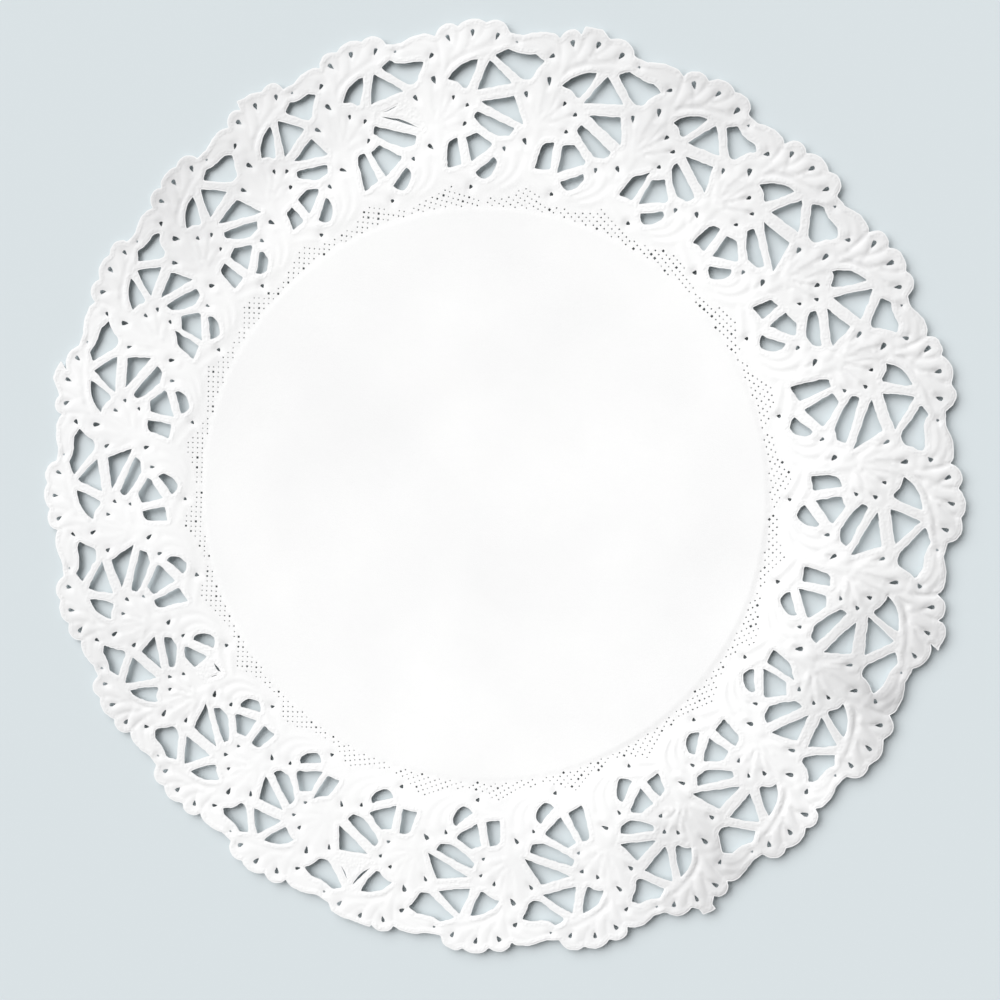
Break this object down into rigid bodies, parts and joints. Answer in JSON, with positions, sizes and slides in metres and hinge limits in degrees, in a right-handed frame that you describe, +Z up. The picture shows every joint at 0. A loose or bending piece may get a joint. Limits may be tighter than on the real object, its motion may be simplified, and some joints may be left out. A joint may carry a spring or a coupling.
{
  "type": "paper doily",
  "caption": "Round white paper lace doily lying flat: a plain round centre inside a wide embossed and cut ring of shells, leaves and scrolls, with a lobed edge.",
  "frame": {"origin": "middle of the flat underside", "axes": "+Z up, out of the embossed side; +Y towards the far edge as the doily lies in the picture"},
  "size_m": [0.2538, 0.2538, 0.0015],
  "materials": {
    "paper": "matt white uncoated paper, embossed in the lace ring"
  },
  "bodies": {
    "root": {"doily": "paper"}
  },
  "joints": []
}
